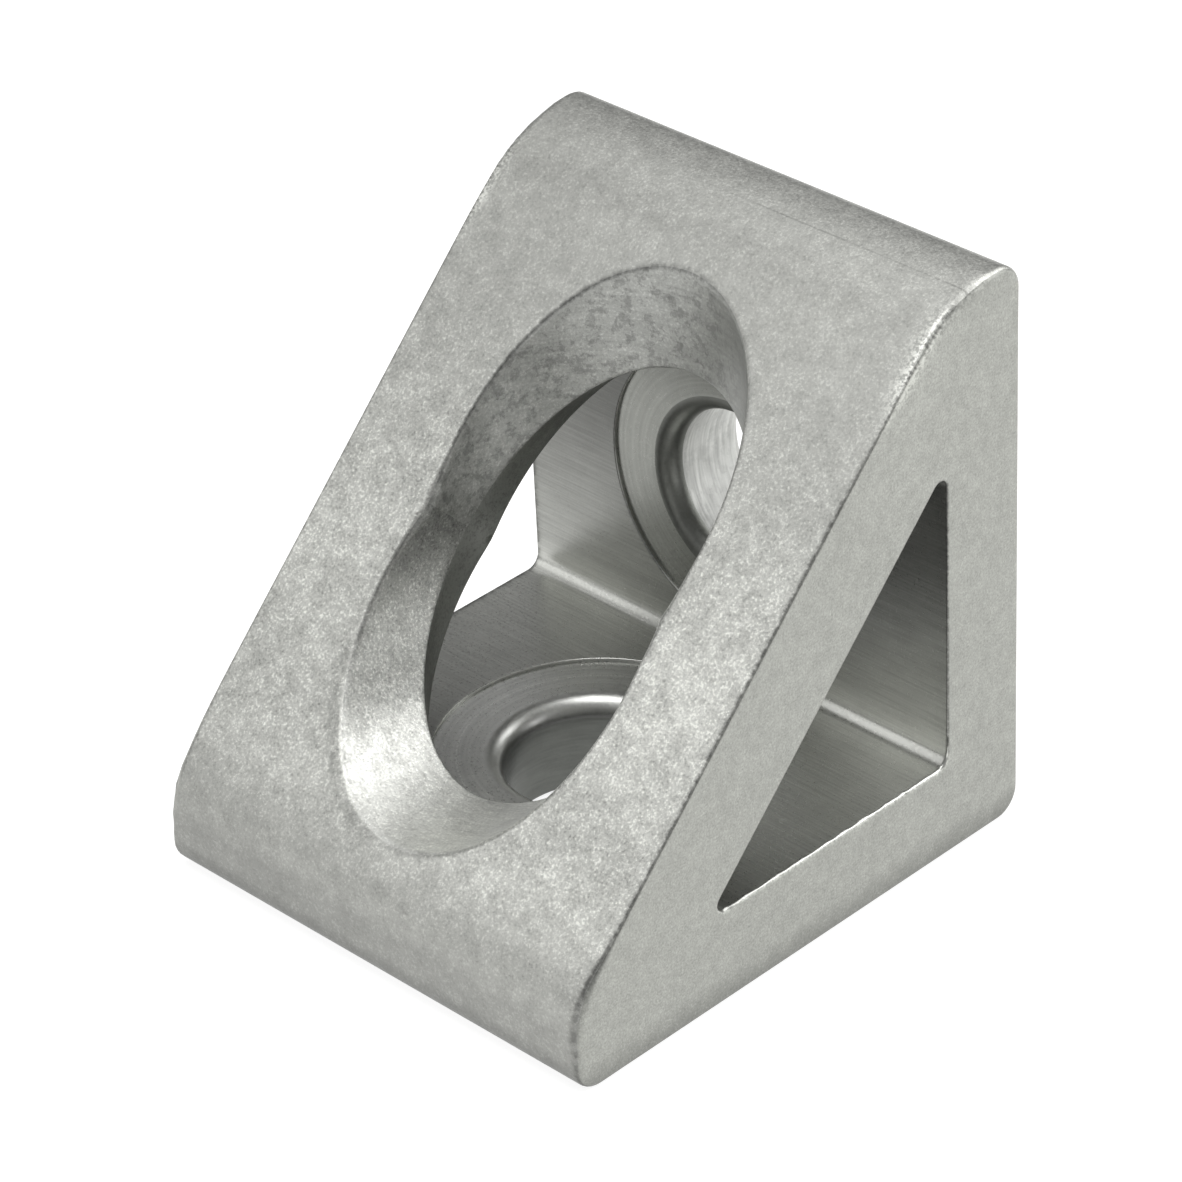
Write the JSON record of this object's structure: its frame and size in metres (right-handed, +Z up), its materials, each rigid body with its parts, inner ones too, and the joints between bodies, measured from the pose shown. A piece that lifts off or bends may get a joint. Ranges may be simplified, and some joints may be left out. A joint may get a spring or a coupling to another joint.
{
  "type": "t-slot framing corner gusset",
  "caption": "One-piece aluminium corner gusset for T-slot framing, with a screw hole in each leg reached through an opening in its sloped face.",
  "frame": {"origin": "middle of the footprint, on the outer face of the bottom leg", "axes": "+Z up along the back leg, +Y towards the outer face of the back leg, +X across the bracket along the extrusion; the sloped face looks towards -Y and +Z"},
  "size_m": [0.023, 0.0254, 0.0254],
  "materials": {
    "tumbled_aluminium": "tumbled, fine grained satin"
  },
  "bodies": {
    "root": {"gusset_body": "tumbled_aluminium"}
  },
  "joints": []
}
